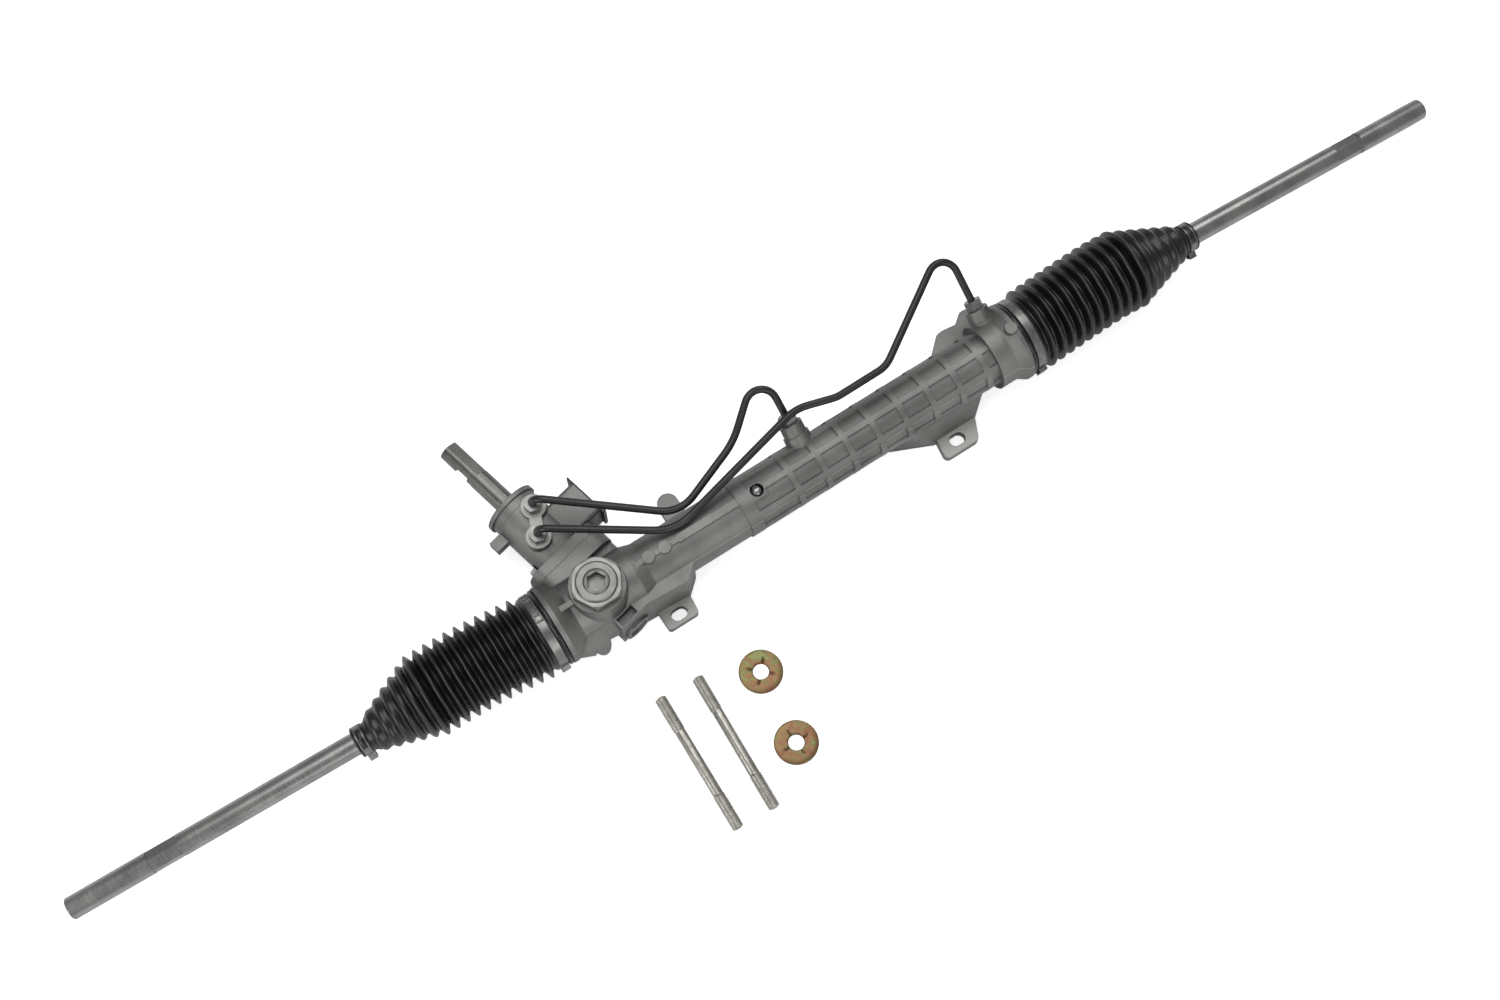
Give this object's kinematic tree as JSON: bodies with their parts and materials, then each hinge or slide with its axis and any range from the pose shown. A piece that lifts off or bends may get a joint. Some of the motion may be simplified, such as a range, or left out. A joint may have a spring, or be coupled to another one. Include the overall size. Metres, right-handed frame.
{
  "type": "steering rack",
  "caption": "Hydraulic power steering rack with ribbed cast housing, leaning valve tower, steel pipes, pleated boots and long tie rods.",
  "frame": {"origin": "midway between the two mounting slots, on the plane of the lugs' rear faces", "axes": "+X along the rack from the gear end to the cylinder end, +Y to the side of the valve tower, +Z towards the yoke"},
  "size_m": [1.2989, 0.3889, 0.0909],
  "materials": {
    "cast_aluminium": "fine sand-like cast surface, satin",
    "machined_aluminium": "turned",
    "bright_steel": "turned, satin",
    "black_coated_steel": "black paint, satin",
    "galvanised_steel": "zinc plated, satin",
    "hardened_steel": "ground",
    "rack_steel": "ground and polished",
    "yellow_zinc": "yellow passivated zinc",
    "stud_steel": "pale yellow passivated zinc",
    "boot_rubber": "matt",
    "seal_rubber": "matt",
    "black_plastic": "matt",
    "seat_plastic": "smooth",
    "ring_plastic": "smooth"
  },
  "bodies": {
    "housing": {"rack_housing": "cast_aluminium", "ball_plug": "hardened_steel", "valve_housing": "cast_aluminium", "valve_housing_bolts": "galvanised_steel", "valve_housing_seal": "seal_rubber", "port_cover": "black_plastic", "pinion_ball_bearing": "hardened_steel", "pinion_needle_bearing": "hardened_steel", "pinion_end_cap": "galvanised_steel", "input_shaft_bearing": "hardened_steel", "input_shaft_seal": "seal_rubber", "support_yoke": "machined_aluminium", "yoke_o_ring": "seal_rubber", "yoke_liner": "ring_plastic", "yoke_spring": "hardened_steel", "yoke_plug": "machined_aluminium", "yoke_lock_nut": "galvanised_steel", "rack_seal_inner": "seal_rubber", "rack_seal_outer": "seal_rubber", "rack_bush": "ring_plastic", "cylinder_bulkhead": "machined_aluminium", "bulkhead_ring": "hardened_steel", "pipe_short": "black_coated_steel", "pipe_long": "black_coated_steel", "valve_pipe_nuts": "galvanised_steel", "cylinder_pipe_nuts": "galvanised_steel", "boot_left": "boot_rubber", "boot_right": "boot_rubber", "large_clamp_left": "galvanised_steel", "large_clamp_right": "galvanised_steel"},
    "rack": {"rack_bar": "rack_steel", "piston": "hardened_steel", "piston_ring": "ring_plastic", "inner_joint_left": "bright_steel", "inner_joint_right": "bright_steel", "ball_seat_left": "seat_plastic", "ball_seat_right": "seat_plastic", "lock_washer_left": "galvanised_steel", "lock_washer_right": "galvanised_steel"},
    "pinion": {"pinion": "hardened_steel", "valve_sleeve": "hardened_steel", "valve_sleeve_rings": "ring_plastic", "torsion_bar": "hardened_steel"},
    "input_shaft": {"input_shaft": "bright_steel"},
    "tie_rod_left": {"tie_rod_left": "bright_steel", "small_clamp_left": "galvanised_steel"},
    "tie_rod_right": {"tie_rod_right": "bright_steel", "small_clamp_right": "galvanised_steel"},
    "stud_1": {"stud_1": "stud_steel"},
    "stud_2": {"stud_2": "stud_steel"},
    "washer_1": {"washer_1": "yellow_zinc"},
    "washer_2": {"washer_2": "yellow_zinc"}
  },
  "joints": [
    {"name": "rack_slide", "type": "slide", "parent": "housing", "child": "rack", "axis": [1, 0, 0], "range_m": [-0.0645, 0.0555], "deforming": ["boot_left", "boot_right"]},
    {"name": "pinion_spin", "type": "hinge", "parent": "housing", "child": "pinion", "pos_m": [-0.17915, 0.0382, 0.025], "axis": [-0.2334, 0.9724, 0], "range_deg": [-450, 388]},
    {"name": "input_shaft_twist", "type": "hinge", "parent": "pinion", "child": "input_shaft", "pos_m": [-0.2025, 0.13544, 0.025], "axis": [-0.2334, 0.9724, 0], "range_deg": [-5, 5], "stiffness_Nm_per_rad": 90},
    {"name": "tie_rod_left_swing", "type": "hinge", "parent": "rack", "child": "tie_rod_left", "pos_m": [-0.31475, 0.0382, 0.041], "axis": [0, 1, 0], "range_deg": [-13.4, 22.6]},
    {"name": "tie_rod_right_swing", "type": "hinge", "parent": "rack", "child": "tie_rod_right", "pos_m": [0.30745, 0.0382, 0.041], "axis": [0, 1, 0], "range_deg": [-22.6, 13.4]},
    {"name": "stud_1_lift", "type": "slide", "parent": "housing", "child": "stud_1", "axis": [0, 0, 1], "range_m": [0, 0.1]},
    {"name": "stud_2_lift", "type": "slide", "parent": "housing", "child": "stud_2", "axis": [0, 0, 1], "range_m": [0, 0.1]},
    {"name": "washer_1_lift", "type": "slide", "parent": "housing", "child": "washer_1", "axis": [0, 0, 1], "range_m": [0, 0.1]},
    {"name": "washer_2_lift", "type": "slide", "parent": "housing", "child": "washer_2", "axis": [0, 0, 1], "range_m": [0, 0.1]}
  ],
  "couplings": [
    {"joint": "pinion_spin", "follows": "rack_slide", "rad_per_m": 121.55}
  ]
}
